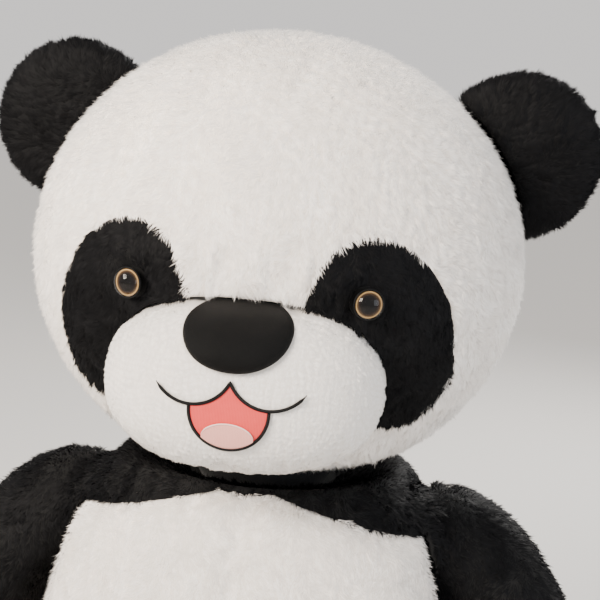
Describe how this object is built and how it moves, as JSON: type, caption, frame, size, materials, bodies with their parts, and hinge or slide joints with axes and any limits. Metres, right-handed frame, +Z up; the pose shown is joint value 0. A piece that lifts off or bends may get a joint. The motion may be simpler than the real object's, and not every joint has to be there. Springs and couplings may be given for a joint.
{
  "type": "plush panda",
  "caption": "Sitting plush panda with a turning and nodding head, soft ears, swinging arms and hinged legs, sewn from long-pile panels over fibre filling.",
  "frame": {"origin": "middle of the flat seat panel, on the surface that the panda sits on", "axes": "+Z up, +X to the panda's own left, -Y to its front"},
  "size_m": [0.632, 0.5473, 0.7375],
  "materials": {
    "white_plush": "long soft pile plush, cream white",
    "black_plush": "long soft pile plush, black",
    "muzzle_plush": "short smooth plush, warm cream",
    "nose_velour": "short black velour",
    "mouth_satin": "coral red satin applique",
    "tongue_satin": "pale pink satin applique",
    "black_thread": "black satin stitch",
    "clear_acrylic": "clear polished acrylic dome",
    "amber_print": "amber ring round a black pupil, printed",
    "black_plastic": "black moulded plastic",
    "white_plastic": "white moulded plastic",
    "filling": "loose polyester fibre",
    "label_ribbon": "plain woven satin ribbon, blank",
    "white_thread": "doubled sewing thread"
  },
  "bodies": {
    "torso": {"belly_panel": "white_plush", "back_panel": "white_plush", "seat_panel": "white_plush", "tail_skin": "white_plush", "yoke_skin": "black_plush", "torso_stuffing": "filling", "tail_stuffing": "filling", "care_label": "label_ribbon", "closing_seam": "white_thread"},
    "neck": {"neck_skin": "black_plush", "neck_stuffing": "filling"},
    "head": {"head_front_skin": "white_plush", "head_back_skin": "white_plush", "eye_patch_left": "black_plush", "eye_patch_right": "black_plush", "muzzle_skin": "muzzle_plush", "nose_cover": "nose_velour", "mouth_lining": "mouth_satin", "tongue_applique": "tongue_satin", "upper_lip_thread": "black_thread", "lower_lip_thread": "black_thread", "eye_lens_left": "clear_acrylic", "eye_lens_right": "clear_acrylic", "eye_iris_left": "amber_print", "eye_iris_right": "amber_print", "eye_stem_left": "black_plastic", "eye_stem_right": "black_plastic", "eye_washer_left": "white_plastic", "eye_washer_right": "white_plastic", "head_stuffing": "filling", "muzzle_stuffing": "filling", "nose_padding": "filling"},
    "ear_left": {"ear_front_skin_left": "black_plush", "ear_back_skin_left": "black_plush", "ear_stuffing_left": "filling"},
    "ear_right": {"ear_front_skin_right": "black_plush", "ear_back_skin_right": "black_plush", "ear_stuffing_right": "filling"},
    "arm_left": {"arm_skin_left": "black_plush", "arm_stuffing_left": "filling"},
    "arm_right": {"arm_skin_right": "black_plush", "arm_stuffing_right": "filling"},
    "leg_left": {"leg_skin_left": "black_plush", "foot_sole_left": "black_plush", "leg_stuffing_left": "filling"},
    "leg_right": {"leg_skin_right": "black_plush", "foot_sole_right": "black_plush", "leg_stuffing_right": "filling"}
  },
  "joints": [
    {"name": "neck_turn", "type": "hinge", "parent": "torso", "child": "neck", "pos_m": [0, 0, 0.385], "axis": [0, 0, 1], "range_deg": [-15, 15], "stiffness_Nm_per_rad": 6},
    {"name": "head_nod", "type": "hinge", "parent": "neck", "child": "head", "pos_m": [0, 0, 0.385], "axis": [1, 0, 0], "range_deg": [-8, 6], "stiffness_Nm_per_rad": 16},
    {"name": "ear_left_bend", "type": "hinge", "parent": "head", "child": "ear_left", "pos_m": [0.177, 0.055, 0.6357], "axis": [-0.454, 0, 0.891], "range_deg": [-8, 8], "stiffness_Nm_per_rad": 1.5},
    {"name": "shoulder_left", "type": "hinge", "parent": "torso", "child": "arm_left", "pos_m": [0.165, 0, 0.306], "axis": [-1, 0, 0], "range_deg": [-25, 60], "stiffness_Nm_per_rad": 1.2},
    {"name": "hip_left", "type": "hinge", "parent": "torso", "child": "leg_left", "pos_m": [0.104, -0.132, 0.068], "axis": [-1, 0, 0], "range_deg": [0, 15]},
    {"name": "ear_right_bend", "type": "hinge", "parent": "head", "child": "ear_right", "pos_m": [-0.177, 0.055, 0.6357], "axis": [0.454, 0, 0.891], "range_deg": [-8, 8], "stiffness_Nm_per_rad": 1.5},
    {"name": "shoulder_right", "type": "hinge", "parent": "torso", "child": "arm_right", "pos_m": [-0.165, 0, 0.306], "axis": [-1, 0, 0], "range_deg": [-25, 60], "stiffness_Nm_per_rad": 1.2},
    {"name": "hip_right", "type": "hinge", "parent": "torso", "child": "leg_right", "pos_m": [-0.104, -0.132, 0.068], "axis": [-1, 0, 0], "range_deg": [0, 15]}
  ]
}
